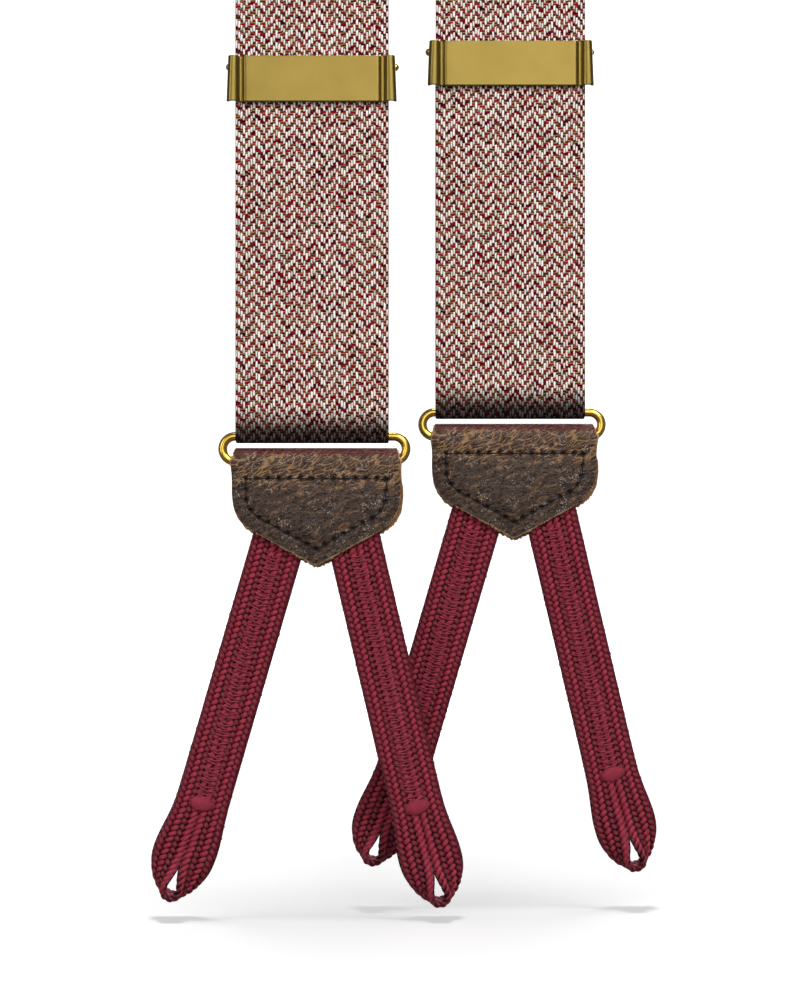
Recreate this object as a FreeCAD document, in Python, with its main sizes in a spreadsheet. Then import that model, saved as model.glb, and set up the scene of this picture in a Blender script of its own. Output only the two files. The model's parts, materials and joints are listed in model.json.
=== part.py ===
import FreeCAD, Part
import math
import os
import re
import Sketcher

# A pair of button-on dress suspenders with a Y back, hung over a rail as in a wardrobe.
# The origin is on the rail's axis, midway between the two front straps. +X runs along the
# rail, +Z is up and -Y is the front. Three end assemblies hang from the webbing: left,
# right and rear. Each is built in its own frame, whose origin is on the axis of the ring's
# top bar, with its outer side facing -Y. Lengths are in millimetres, angles in degrees.

DIMENSIONS = (
    # webbing
    ("strap_width", 38.0),
    ("strap_thick", 0.8),
    ("strap_pitch", 49.6),
    ("strap_start_drop", 60.0),
    ("strap_slant", 6.0),
    ("fold_height", 12.0),
    ("joint_gap", 0.3),
    # drape over the rail
    ("bend_radius", 19.0),
    ("left_forward", 10.0),
    ("layer_step", 1.0),
    ("left_ring_drop", 556.5),
    ("right_ring_drop", 550.0),
    ("rear_ring_drop", 290.0),
    # ring
    ("ring_width", 47.6),
    ("wire_diameter", 2.2),
    ("bar_pitch", 6.2),
    ("wrap_clearance", 0.1),
    # adjuster
    ("adjuster_rise", 82.2),
    ("adjuster_width", 41.0),
    ("adjuster_height", 11.1),
    ("sheet_thick", 0.8),
    ("panel_half", 16.6),
    ("panel_front", 3.6),
    ("roll_radius", 1.3),
    ("roll_depth", 3.05),
    ("cheek_back", 2.9),
    ("pin_radius", 0.8),
    ("pin_rise", 9.3),
    ("pin_depth", 0.45),
    ("knuckle_radius", 1.25),
    ("lever_length", 5.0),
    ("tail_bar_radius", 0.7),
    ("tail_bar_rise", 2.2),
    ("tail_bar_depth", 0.8),
    ("tail_length", 12.0),
    # leather tab
    ("tab_half", 21.1),
    ("tab_thick", 1.25),
    ("tab_gap", 4.2),
    ("tab_side_end", 14.8),
    ("tab_shoulder_half", 15.7),
    ("tab_shoulder_drop", 23.2),
    ("tab_shoulder_radius", 9.8),
    ("tab_tip_drop", 31.8),
    ("core_top_drop", 8.2),
    ("core_inset", 0.5),
    ("stitch_inset", 3.8),
    ("stitch_width", 0.5),
    ("stitch_top_drop", 10.5),
    ("thread_height", 0.3),
    # braided legs
    ("leg_width", 13.2),
    ("leg_thick", 2.3),
    ("leg_root_x", 9.5),
    ("leg_gap", 0.8),
    ("leg_length", 92.4),
    ("left_splay", 16.3),
    ("right_splay", 13.3),
    ("slot_width", 3.2),
    ("slot_top", 68.5),
    ("slot_bottom", 89.2),
    ("loop_half", 7.5),
    ("loop_widest", 80.0),
    ("loop_side_radius", 17.7),
    ("loop_end_half", 5.6),
    ("loop_end_start", 88.0),
    ("loop_end_radius", 5.76),
    ("loop_depth", 6.4),
    ("loop_turn_start", 84.5),
    ("loop_turn_half", 6.8),
    ("seam_width", 5.0),
    ("seam_start", 9.0),
    ("seam_end", 65.0),
    ("bartack_width", 6.4),
    ("bartack_height", 3.6),
    ("bartack_thread", 0.6),
    # rear elastic and Y patch
    ("rear_fold_height", 34.0),
    ("patch_top_drop", 140.0),
    ("patch_bottom_drop", 205.0),
    ("patch_top_half", 31.5),
    ("patch_bottom_half", 21.0),
    ("patch_thick", 1.6),
    ("lining_thick", 1.0),
    ("patch_corner_radius", 6.0),
    ("strap_end_drop", 186.0),
    ("elastic_top_drop", 191.0),
)

V = FreeCAD.Vector
X_AXIS = V(1, 0, 0)
Y_AXIS = V(0, 1, 0)
Z_AXIS = V(0, 0, 1)

doc = FreeCAD.newDocument("suspenders")
sheet = doc.addObject("Spreadsheet::Sheet", "sizes")
for row, (alias, value) in enumerate(DIMENSIONS, start=1):
    sheet.set(f"A{row}", alias)
    sheet.set(f"B{row}", str(value))
    sheet.setAlias(f"B{row}", alias)
doc.recompute()

nodes = []


# ---------------------------------------------------------------- helpers

def size(expression):
    """The value of an expression over the sheet's aliases."""
    return float(sheet.evalExpression(expression))


def in_sheet(expression):
    """The same expression with every alias written as sizes.alias, for setExpression."""
    return re.sub(r"[a-z]+_[a-z_]+", lambda alias: f"sizes.{alias.group()}", expression)


def bind(item, **properties):
    """Tie properties of an object to expressions over the sheet."""
    for name, expression in properties.items():
        item.setExpression(name, in_sheet(expression))
    return item


def move(x=0.0, y=0.0, z=0.0, axis=Z_AXIS, angle=0.0):
    return FreeCAD.Placement(V(x, y, z), FreeCAD.Rotation(axis, angle))


def keep(item, label, placement):
    """Name an object as a finished sub-part and put it in its place."""
    item.Label = label
    for axis in "xyz":
        item.setExpression(f"Placement.Base.{axis}", None)
    item.Placement = placement
    nodes.append(item)
    return item


def box(name, width, depth, height, x="0", y="0", z="0"):
    """A box centred on x and y, standing on z. All are expressions."""
    item = doc.addObject("Part::Box", name)
    bind(item, Length=width, Width=depth, Height=height)
    bind(item, **{
        "Placement.Base.x": f"({x}) - ({width}) / 2",
        "Placement.Base.y": f"({y}) - ({depth}) / 2",
        "Placement.Base.z": z,
    })
    return item


def rod(name, radius, length, y="0", z="0"):
    """A cylinder along X, centred on x = 0."""
    item = doc.addObject("Part::Cylinder", name)
    bind(item, Radius=radius, Height=length)
    item.Placement = move(0, 0, 0, Y_AXIS, 90)
    bind(item, **{
        "Placement.Base.x": f"0 - ({length}) / 2",
        "Placement.Base.y": y,
        "Placement.Base.z": z,
    })
    return item


def cut(name, base, tool):
    item = doc.addObject("Part::Cut", name)
    item.Base = base
    item.Tool = tool
    return item


def common(name, base, tool):
    item = doc.addObject("Part::Common", name)
    item.Base = base
    item.Tool = tool
    return item


def fuse(name, parts):
    item = doc.addObject("Part::MultiFuse", name)
    item.Shapes = parts
    return item


def both_faces(name, width, inner, height, length, z):
    """Two equal flat strips lying on the front and the back of a sheet inner thick."""
    outer_block = box(f"{name}_outer", width, f"{inner} + 2 * {height}", length, z=z)
    inner_block = box(f"{name}_inner", f"{width} + 2", inner, f"{length} + 2", z=f"({z}) - 1")
    return cut(name, outer_block, inner_block)


def draw(body, role, name, corners):
    """A closed sketch on an origin plane of the body.

    A corner is (x, y) or (x, y, radius, counter_clockwise): the radius and the sense are
    those of the edge that leaves the corner, which is straight without them. Every corner
    and radius is pinned to its expression.
    """
    sketch = body.newObject("Sketcher::SketchObject", name)
    plane = next(item for item in body.Origin.OriginFeatures if item.Role == role)
    sketch.AttachmentSupport = [(plane, "")]
    sketch.MapMode = "FlatFace"
    points = [V(size(corner[0]), size(corner[1]), 0) for corner in corners]
    starts = []
    for index, corner in enumerate(corners):
        first = points[index]
        last = points[(index + 1) % len(points)]
        if len(corner) == 2:
            sketch.addGeometry(Part.LineSegment(first, last))
            starts.append(1)
            continue
        radius = size(corner[2])
        turns_left = corner[3]
        chord = last - first
        rise = math.sqrt(max(radius ** 2 - chord.Length ** 2 / 4, 0.0))
        side = V(-chord.y, chord.x, 0).normalize() * (rise if turns_left else -rise)
        centre = (first + last) * 0.5 + side
        begin, end = (first, last) if turns_left else (last, first)
        angle_begin = math.atan2(begin.y - centre.y, begin.x - centre.x)
        angle_end = math.atan2(end.y - centre.y, end.x - centre.x)
        if angle_end <= angle_begin:
            angle_end += 2 * math.pi
        circle = Part.Circle(centre, Z_AXIS, radius)
        sketch.addGeometry(Part.ArcOfCircle(circle, angle_begin, angle_end))
        starts.append(1 if turns_left else 2)
    for index, corner in enumerate(corners):
        following = (index + 1) % len(corners)
        ends = 3 - starts[index]
        sketch.addConstraint(Sketcher.Constraint("Coincident", index, ends, following, starts[following]))
        pins = [("DistanceX", corner[0], points[index].x), ("DistanceY", corner[1], points[index].y)]
        for kind, expression, value in pins:
            pin = sketch.addConstraint(Sketcher.Constraint(kind, -1, 1, index, starts[index], value))
            sketch.setExpression(f"Constraints[{pin}]", in_sheet(expression))
        if len(corner) > 2:
            pin = sketch.addConstraint(Sketcher.Constraint("Radius", index, size(corner[2])))
            sketch.setExpression(f"Constraints[{pin}]", in_sheet(corner[2]))
    if sketch.solve() != 0:
        raise RuntimeError(f"sketch {name} does not solve")
    return sketch


def mirrored(right_half):
    """A closed outline from its right half, listed from the first point on x = 0 to the last.

    The left half repeats the corners backwards with x negated. An arc keeps its sense and
    belongs to the corner it now leaves.
    """
    left_half = []
    for index in range(len(right_half) - 1, 0, -1):
        corner = right_half[index]
        arc = right_half[index - 1][2:]
        left_half.append((f"0 - ({corner[0]})", corner[1], *arc))
    start_on_axis = right_half[0][0] == "0"
    end_on_axis = right_half[-1][0] == "0"
    outline = list(right_half)
    if end_on_axis:
        outline[-1] = (right_half[-1][0], right_half[-1][1], *left_half[0][2:])
        left_half = left_half[1:]
    if not start_on_axis:
        left_half.append((f"0 - ({right_half[0][0]})", right_half[0][1]))
    return outline + left_half


def pad(body, sketch, name, length):
    """Material on both sides of the sketch, length thick in all."""
    feature = body.newObject("PartDesign::Pad", name)
    feature.Profile = sketch
    feature.SideType = "Symmetric"
    bind(feature, Length=length)
    return feature


def plate(name, role, corners, thickness):
    """A body padded to both sides of one origin plane."""
    body = doc.addObject("PartDesign::Body", name)
    pad(body, draw(body, role, f"{name}_outline", corners), f"{name}_pad", thickness)
    return body


def hairpin(name, inner, thick, height, width, z="0"):
    """A sheet folded round a bar: two upright layers joined by a half turn about y = 0, z."""
    outer = f"({inner} + {thick})"
    corners = [
        (f"0 - {outer}", f"{z} + {height}"),
        (f"0 - {outer}", z, outer, True),
        ("0", f"{z} - {outer}", outer, True),
        (outer, z),
        (outer, f"{z} + {height}"),
        (inner, f"{z} + {height}"),
        (inner, z, inner, False),
        ("0", f"{z} - {inner}", inner, False),
        (f"0 - {inner}", z),
        (f"0 - {inner}", f"{z} + {height}"),
    ]
    return plate(name, "YZ_Plane", corners, width)


# Layers of webbing lie this far from the plane of the bar they are folded round.
LAYER = "(wire_diameter / 2 + wrap_clearance + strap_thick / 2)"


# ---------------------------------------------------------------- webbing

def upper_strap(side, x, front, back):
    """The fixed webbing: a short front drop, the bend over the rail and the slanted back run."""
    radius = (back - front) / 2
    half_thick = size("strap_thick / 2")
    drop = size("strap_start_drop")
    slant = size("strap_slant") * (1 if x > 0 else -1)
    back_run = size("strap_end_drop") / math.cos(math.radians(abs(slant)))
    width = size("strap_width")

    def layer(depth, height):
        return Part.makeBox(width, 2 * half_thick, height, V(-width / 2, depth - half_thick, -height))

    outer_bend = Part.makeCylinder(radius + half_thick, width, V(-width / 2, 0, 0), X_AXIS, 180)
    inner_bend = Part.makeCylinder(radius - half_thick, width, V(-width / 2, 0, 0), X_AXIS, 180)
    bend = outer_bend.cut(inner_bend)
    bend.rotate(V(0, 0, 0), X_AXIS, -90)
    slanted = layer(radius, back_run)
    slanted.translate(V(0, 0, width / 2 * math.tan(math.radians(abs(slant)))))
    slanted.rotate(V(0, radius, 0), Y_AXIS, slant)
    ribbon = bend.fuse([layer(-radius, drop), slanted]).removeSplitter()
    item = doc.addObject("Part::Feature", f"{side}_upper_strap")
    item.Shape = ribbon
    keep(item, f"{side}_upper_strap", move(x, (front + back) / 2, 0))


def front_webbing(side, place, ring_drop):
    """The moving webbing: the front run, the fold through the ring and the return run."""
    gap = "joint_gap"
    run_length = f"{ring_drop} - strap_start_drop - fold_height - 2 * {gap}"
    front_run = box(f"{side}_front_run", "strap_width", "strap_thick", run_length)
    keep(front_run, f"{side}_front_run", place * move(
        -size("strap_width") / 2, -size(f"{LAYER} + strap_thick / 2"), size(f"fold_height + {gap}")))
    bottom = f"(adjuster_rise + tail_bar_rise - tail_length - {gap})"
    return_run = box(f"{side}_return_run", "strap_width", "strap_thick", f"{bottom} - fold_height - {gap}")
    keep(return_run, f"{side}_return_run", place * move(
        -size("strap_width") / 2, size(f"{LAYER} - strap_thick / 2 + 0.2"), size(f"fold_height + {gap}")))
    fold = hairpin(f"{side}_strap_fold", "(wire_diameter / 2 + wrap_clearance)", "strap_thick",
                   "fold_height", "strap_width")
    keep(fold, f"{side}_strap_fold", place)


# ---------------------------------------------------------------- adjuster

def adjuster(side, place):
    """A pressed brass face on a hinge pin, its gripping lever, and the bar of the webbing's end."""
    # Pressed face: a flat panel, a step back and a rolled edge at each end, and two cheeks.
    roll_x = "(adjuster_width / 2 - roll_radius)"
    outer_x = "(adjuster_width / 2)"
    inner_x = "(adjuster_width / 2 - sheet_thick)"
    profile = mirrored([
        ("0", "0 - panel_front"),
        ("panel_half", "0 - panel_front"),
        (f"{roll_x} - roll_radius", "0 - roll_depth", "roll_radius", True),
        (roll_x, "0 - roll_depth - roll_radius", "roll_radius", True),
        (outer_x, "0 - roll_depth"),
        (outer_x, "cheek_back"),
        (inner_x, "cheek_back"),
        (inner_x, "0 - roll_depth + 0.7"),
        ("panel_half + sheet_thick", "0 - roll_depth + 0.7"),
        ("panel_half", "sheet_thick - panel_front"),
        ("0", "sheet_thick - panel_front"),
    ])
    pressing = plate(f"{side}_face_pressing", "XY_Plane", profile, "adjuster_height")
    pin_hole = rod(f"{side}_pin_hole", "pin_radius + 0.05", "adjuster_width + 2",
                   "pin_depth", "pin_rise")
    bar_hole = rod(f"{side}_bar_hole", "tail_bar_radius + 0.05", "adjuster_width + 2",
                   "tail_bar_depth", "tail_bar_rise")
    face = cut(f"{side}_adjuster_face", pressing, fuse(f"{side}_face_holes", [pin_hole, bar_hole]))
    keep(face, f"{side}_adjuster_face", place)

    # Hinge pin with a domed head outside each cheek.
    shank = rod(f"{side}_pin_shank", "pin_radius", "adjuster_width", "pin_depth", "pin_rise")
    heads = []
    for hand in (-1, 1):
        head = doc.addObject("Part::Sphere", f"{side}_pin_head")
        bind(head, Radius="pin_radius + 0.15")
        head.Angle1 = 0
        head.Placement = move(hand * size("adjuster_width / 2"), size("pin_depth"), size("pin_rise"),
                              Y_AXIS, 90 * hand)
        heads.append(head)
    keep(fuse(f"{side}_adjuster_pin", [shank, *heads]), f"{side}_adjuster_pin", place)

    # Lever: a knuckle round the pin and a flat tongue that presses the webbing on the face.
    knuckle_length = "adjuster_width - 2 * sheet_thick - 0.6"
    tongue_width = "adjuster_width - 2 * sheet_thick - 1.4"
    knuckle = rod(f"{side}_knuckle", "knuckle_radius", knuckle_length, "pin_depth", "pin_rise")
    tongue = box(f"{side}_tongue", tongue_width, "sheet_thick", "lever_length",
                 y="pin_depth - knuckle_radius + sheet_thick / 2", z="pin_rise - lever_length")
    bore = rod(f"{side}_knuckle_bore", "pin_radius + 0.1", "adjuster_width", "pin_depth", "pin_rise")
    lever = cut(f"{side}_adjuster_lever", fuse(f"{side}_lever_blank", [knuckle, tongue]), bore)
    keep(lever, f"{side}_adjuster_lever", place)

    # Tail bar between the cheeks, with the webbing's end sewn back round it.
    bar = rod(f"{side}_tail_bar", "tail_bar_radius", "adjuster_width")
    bar_place = place * move(0, size("tail_bar_depth"), size("tail_bar_rise"))
    keep(bar, f"{side}_tail_bar", bar_place * move(-size("adjuster_width / 2"), 0, 0, Y_AXIS, 90))
    end = hairpin(f"{side}_strap_end", "(tail_bar_radius + wrap_clearance)", "strap_thick",
                  "tail_length", "strap_width")
    keep(end, f"{side}_strap_end", bar_place * move(0, 0, 0, X_AXIS, 180))
    rows = []
    for number, drop in enumerate((4.0, 8.0), start=1):
        rows.append(box(f"{side}_end_row_{number}", "strap_width - 4",
                        "2 * (tail_bar_radius + wrap_clearance)", "stitch_width", z=str(-drop)))
    keep(fuse(f"{side}_end_stitching", rows), f"{side}_end_stitching", bar_place)


# ---------------------------------------------------------------- ring and tab

def ring(side, place):
    """A racetrack of round wire: two straight bars and two half-round ends."""
    straight = "ring_width - wire_diameter - bar_pitch"
    parts = [
        rod(f"{side}_top_bar", "wire_diameter / 2", straight),
        rod(f"{side}_lower_bar", "wire_diameter / 2", straight, z="0 - bar_pitch"),
    ]
    for hand in (-1, 1):
        turn = doc.addObject("Part::Torus", f"{side}_ring_turn")
        bind(turn, Radius1="bar_pitch / 2", Radius2="wire_diameter / 2")
        turn.Angle3 = 180
        upright = FreeCAD.Rotation(X_AXIS, 90)
        outward = FreeCAD.Rotation(Y_AXIS, 90 * hand)
        turn.Placement = FreeCAD.Placement(
            V(hand * size(straight) / 2, 0, -size("bar_pitch / 2")), outward * upright)
        parts.append(turn)
    keep(fuse(f"{side}_ring", parts), f"{side}_ring", place)


def tab_outline(inset, top_drop):
    """The pointed tab seen from the front: straight sides, round shoulders, slanted edges."""
    # The slanted edges move in square to themselves, by the inset over the cosine of their slope.
    slope = "atan((tab_tip_drop - tab_shoulder_drop) / tab_shoulder_half)"
    shoulder_x = f"(tab_shoulder_half - {inset} * sin({slope}))"
    shoulder_z = f"(0 - tab_shoulder_drop + {inset} * cos({slope}))"
    right_half = [
        (f"tab_half - {inset}", f"0 - {top_drop}"),
        (f"tab_half - {inset}", "0 - tab_side_end"),
        (shoulder_x, shoulder_z),
        ("0", f"0 - tab_tip_drop + {inset} / cos({slope})"),
    ]
    corner = right_half[1]
    right_half[1] = (corner[0], corner[1], f"tab_shoulder_radius - {inset}", False)
    return mirrored(right_half)


def tab(side, place):
    """The folded leather tab, the tape ends held inside it, and its two faces of stitching."""
    tab_depth = "(tab_gap + 2 * tab_thick)"
    fold = hairpin(f"{side}_tab_fold", "tab_gap / 2", "tab_thick", "tab_tip_drop", "2 * tab_half")
    fold.Placement = move(0, 0, -size("bar_pitch"), X_AXIS, 180)
    blank = plate(f"{side}_tab_blank", "XZ_Plane", tab_outline("0", "0"), f"{tab_depth} + 2")
    keep(common(f"{side}_tab_leather", fold, blank), f"{side}_tab_leather", place)

    core = plate(f"{side}_tab_core", "XZ_Plane", tab_outline("core_inset", "core_top_drop"),
                 "tab_gap - 0.1")
    keep(core, f"{side}_tab_core", place)

    thread_depth = f"{tab_depth} + 2 * thread_height"
    inner_inset = "(stitch_inset + stitch_width)"
    loop = plate(f"{side}_stitch_loop", "XZ_Plane", tab_outline("stitch_inset", "stitch_top_drop"),
                 thread_depth)
    hole = plate(f"{side}_stitch_hole", "XZ_Plane",
                 tab_outline(inner_inset, "(stitch_top_drop + stitch_width)"), f"{thread_depth} + 2")
    leather = box(f"{side}_stitch_slab", "2 * tab_half + 2", tab_depth, "tab_tip_drop + 2",
                  z="0 - tab_tip_drop - 1")
    rows = cut(f"{side}_tab_stitching", cut(f"{side}_stitch_frame", loop, hole), leather)
    keep(rows, f"{side}_tab_stitching", place)


# ---------------------------------------------------------------- braided legs

def leg(name, place, hand, splay):
    """Two braided tapes sewn side by side, open below the bartack as a buttonhole loop.

    The leg's own frame has its origin on the tab's slanted edge and its length along -Z.
    The top is cut parallel to that edge. Hand is -1 on the left and 1 on the right.
    """
    slope = "atan((tab_tip_drop - tab_shoulder_drop) / tab_shoulder_half)"
    half = "leg_width / 2"
    turn_angle = f"({slope} - {splay} * 1 deg)"
    lean = f"tan({turn_angle})"
    top = f"(0 - leg_gap / cos({turn_angle}))"
    outer_top = f"{top} + {hand} * {half} * {lean}"
    inner_top = f"{top} - {hand} * {half} * {lean}"
    body = doc.addObject("PartDesign::Body", name)
    outline = draw(body, "XZ_Plane", f"{name}_outline", [
        (f"0 - {half}", inner_top),
        (f"0 - {half}", "0 - slot_top"),
        ("0 - loop_half", "0 - loop_widest", "loop_side_radius", True),
        ("0 - loop_end_half", "0 - loop_end_start", "loop_end_radius", True),
        ("0", "0 - leg_length", "loop_end_radius", True),
        ("loop_end_half", "0 - loop_end_start", "loop_side_radius", True),
        ("loop_half", "0 - loop_widest"),
        (half, "0 - slot_top"),
        (half, outer_top),
    ])
    pad(body, outline, f"{name}_tapes", "leg_thick")
    turn = draw(body, "XZ_Plane", f"{name}_turn_outline", [
        ("0 - loop_turn_half", "0 - loop_turn_start"),
        ("0 - loop_end_half", "0 - loop_end_start", "loop_end_radius", True),
        ("0", "0 - leg_length", "loop_end_radius", True),
        ("loop_end_half", "0 - loop_end_start"),
        ("loop_turn_half", "0 - loop_turn_start"),
        ("slot_width", "0 - loop_turn_start"),
        ("0", "0 - slot_bottom"),
        ("0 - slot_width", "0 - loop_turn_start"),
    ])
    pad(body, turn, f"{name}_turn", "loop_depth")
    slot = draw(body, "XZ_Plane", f"{name}_slot_outline", [
        ("0 - slot_width / 2", "0 - slot_top"),
        ("0 - slot_width / 2", "0 - slot_bottom"),
        ("slot_width / 2", "0 - slot_bottom"),
        ("slot_width / 2", "0 - slot_top"),
    ])
    pocket = body.newObject("PartDesign::Pocket", f"{name}_slot")
    pocket.Profile = slot
    pocket.SideType = "Symmetric"
    bind(pocket, Length="2 * loop_depth")
    keep(body, name, place)

    seam = both_faces(f"{name}_seam", "seam_width", "leg_thick", "thread_height",
                      "seam_end - seam_start", "0 - seam_end")
    keep(seam, f"{name}_seam", place)
    bartack = both_faces(f"{name}_bartack", "bartack_width", "leg_thick", "bartack_thread",
                         "bartack_height", "0 - slot_top + 0.3 - bartack_height / 4")
    keep(bartack, f"{name}_bartack", place)


def legs(side, place):
    names = {"left": ("outer", "inner"), "right": ("inner", "outer"), "rear": ("left", "right")}
    for name, hand, splay in zip(names[side], (-1, 1), ("left_splay", "right_splay")):
        slope = math.atan(size("(tab_tip_drop - tab_shoulder_drop) / tab_shoulder_half"))
        root_x = size("leg_root_x")
        root_z = -size("tab_tip_drop") + root_x * math.tan(slope)
        root = move(hand * root_x, 0, root_z, Y_AXIS, -hand * size(splay))
        leg(f"{side}_{name}_leg", place * root, hand, splay)


def end_assembly(side, place):
    ring(side, place)
    tab(side, place)
    legs(side, place)


# ---------------------------------------------------------------- Y back

def patch_outline(inset):
    """The leather patch: wide over the two straps, narrowing to the elastic's width."""
    radius = f"(patch_corner_radius - {inset})"
    top_corner_x = "(patch_top_half - patch_corner_radius)"
    right_half = [
        (top_corner_x, f"0 - patch_top_drop - {inset}", radius, False),
        (f"patch_top_half - {inset}", "0 - patch_top_drop - patch_corner_radius"),
        (f"patch_bottom_half + 5 - {inset}", "0 - patch_bottom_drop + 30"),
        (f"patch_bottom_half - {inset}", "0 - patch_bottom_drop + 12"),
        (f"patch_bottom_half - {inset}", f"0 - patch_bottom_drop + {inset}"),
    ]
    return mirrored(right_half)


def layer_plate(name, outline, depth_from, thickness):
    """An upright plate with the outline, from a depth backwards."""
    item = plate(name, "XZ_Plane", outline, thickness)
    return keep(item, name, move(0, size(depth_from) + size(thickness) / 2, 0))


def y_back():
    """The leather patch that joins the straps, and the elastic with its sewn fold."""
    lining_front = "bend_radius - strap_thick / 2 - 0.2 - lining_thick"
    patch_front = "bend_radius + layer_step + strap_thick / 2 + 0.2"
    patch_back = f"({patch_front} + patch_thick)"
    layer_plate("patch_lining", patch_outline("0"), lining_front, "lining_thick")
    layer_plate("patch_leather", patch_outline("0"), patch_front, "patch_thick")
    loop = plate("patch_stitch_loop", "XZ_Plane", patch_outline("3"), "thread_height")
    hole = plate("patch_stitch_hole", "XZ_Plane", patch_outline("(3 + stitch_width)"), "thread_height + 2")
    keep(cut("patch_stitching", loop, hole), "patch_stitching",
         move(0, size(f"{patch_back} + thread_height / 2"), 0))

    place = move(0, size(f"bend_radius - {LAYER}"), -size("rear_ring_drop"), Z_AXIS, 180)
    elastic_length = "rear_ring_drop - elastic_top_drop - rear_fold_height - joint_gap"
    elastic = box("rear_elastic", "strap_width", "strap_thick", elastic_length)
    keep(elastic, "rear_elastic", place * move(
        -size("strap_width") / 2, -size(f"{LAYER} + strap_thick / 2"),
        size("rear_fold_height + joint_gap")))
    fold = hairpin("rear_elastic_fold", "(wire_diameter / 2 + wrap_clearance)", "strap_thick",
                   "rear_fold_height", "strap_width")
    keep(fold, "rear_elastic_fold", place)
    rows = []
    for number, rise in enumerate((22.0, 26.0), start=1):
        rows.append(box(f"rear_row_{number}", "strap_width - 4", "wire_diameter + 2 * wrap_clearance",
                        "stitch_width", z=str(rise)))
    keep(fuse("rear_fold_stitching", rows), "rear_fold_stitching", place)
    end_assembly("rear", place)


# ---------------------------------------------------------------- whole object

def front_side(side, x, forward, ring_drop, back_layer):
    axis_depth = -(size("bend_radius") + forward) + size(LAYER)
    place = move(x, axis_depth, -size(ring_drop))
    upper_strap(side, x, -(size("bend_radius") + forward), size("bend_radius") + back_layer)
    front_webbing(side, place, ring_drop)
    adjuster(side, place * move(0, 0, size("adjuster_rise")))
    end_assembly(side, place)


half_pitch = size("strap_pitch / 2")
front_side("left", -half_pitch, size("left_forward"), "left_ring_drop", size("layer_step"))
front_side("right", half_pitch, 0.0, "right_ring_drop", 0.0)
y_back()
doc.recompute()

for item in doc.Objects:
    if "Invalid" in item.State or "Error" in item.State:
        raise RuntimeError(f"{item.Label} failed: {item.State}")
for item in nodes:
    if item.Shape.isNull() or not item.Shape.isValid():
        raise RuntimeError(f"{item.Label} has no valid shape")

os.makedirs("parts", exist_ok=True)
for item in nodes:
    item.Shape.exportStep(f"parts/{item.Label}.step")
    print(f"{item.Label}: {len(item.Shape.Solids)} solids, {item.Shape.Volume:.1f} mm3")
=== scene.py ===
"""The looks of a pair of button-on suspenders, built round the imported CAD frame.

Lengths are in millimetres until to_world() turns them into metres. The studio and the camera are in
metres. Each end of the suspenders has local coordinates: the axis of the ring's top bar is the
origin, x goes across the strap, y goes through it, with the outer side at minus y, and z goes up.
"""
import json
import math

import bpy
import numpy as np
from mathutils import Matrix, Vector


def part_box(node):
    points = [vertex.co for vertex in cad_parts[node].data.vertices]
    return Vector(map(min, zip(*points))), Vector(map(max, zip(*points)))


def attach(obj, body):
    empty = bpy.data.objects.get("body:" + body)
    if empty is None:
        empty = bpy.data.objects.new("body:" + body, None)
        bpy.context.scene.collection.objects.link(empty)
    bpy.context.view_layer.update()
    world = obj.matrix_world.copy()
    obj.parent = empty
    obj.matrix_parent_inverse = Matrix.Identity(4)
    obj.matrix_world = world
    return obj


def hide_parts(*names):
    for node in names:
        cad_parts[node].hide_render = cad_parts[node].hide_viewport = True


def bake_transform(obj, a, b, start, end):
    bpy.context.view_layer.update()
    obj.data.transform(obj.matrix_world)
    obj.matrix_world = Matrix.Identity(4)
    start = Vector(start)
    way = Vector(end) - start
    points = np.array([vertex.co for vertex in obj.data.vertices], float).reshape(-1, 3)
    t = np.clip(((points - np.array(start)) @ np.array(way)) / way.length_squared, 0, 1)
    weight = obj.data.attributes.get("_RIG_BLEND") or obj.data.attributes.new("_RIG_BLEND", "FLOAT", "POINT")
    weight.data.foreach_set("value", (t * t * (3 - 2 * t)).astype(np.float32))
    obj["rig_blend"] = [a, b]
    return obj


MM = 0.001
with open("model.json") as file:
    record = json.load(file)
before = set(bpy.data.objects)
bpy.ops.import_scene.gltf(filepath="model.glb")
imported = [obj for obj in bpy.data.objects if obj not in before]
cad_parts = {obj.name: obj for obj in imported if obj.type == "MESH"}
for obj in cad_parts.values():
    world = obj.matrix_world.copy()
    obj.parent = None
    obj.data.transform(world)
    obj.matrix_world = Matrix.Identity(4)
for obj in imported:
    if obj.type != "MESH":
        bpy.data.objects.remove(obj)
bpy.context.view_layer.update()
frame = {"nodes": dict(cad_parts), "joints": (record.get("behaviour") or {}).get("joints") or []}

# ---------------------------------------------------------------- sizes

STRAP_WIDTH = 37.8
STRAP_THICK = 0.8
STRAP_SLANT = math.radians(6)
STRAP_DROP_BEHIND = 186.0
LAYER = 1.6                     # from the ring bar's axis to the middle of the webbing
RETURN_DEPTH = 1.8
REST_OF_FOLD = 12.0             # the webbing above the ring that belongs to the fold
TAIL_BAR = (0.8, 84.4)          # y and z of the bar that the webbing's end goes round
TAIL_RADIUS = 1.2
TAIL_LENGTH = 12.0
RAIL_BEND = {"left": (24.5, -4.5), "right": (19.0, 0.0)}   # radius, and y of its centre

ELASTIC_TOP = -191.0
ELASTIC_HIDDEN = 16.0           # how far the elastic goes on up inside the patch
ELASTIC_RETURN = 34.0

PATCH_TOP, PATCH_BOTTOM = -140.0, -205.0
PATCH_TOP_HALF, PATCH_BOTTOM_HALF = 31.5, 21.0
PATCH_CORNER = 6.0

HANG_SHIFT = 1.0                # the tab and legs hang a little to the right of the strap's middle
TAB_HALF = 20.8
TAB_FOLD_Z = -6.2
TAB_RADIUS = 3.35
TAB_THICK = 1.25
TAB_CORNER = 9.8
TAB_CORNER_Z = -14.6
TAB_SHOULDER = (15.7, -23.2)
TAB_TIP_Z = -31.8
STITCH_INSET = 3.5
STITCH_TOP_Z = -10.5
STITCH_PITCH = 2.7

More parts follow.
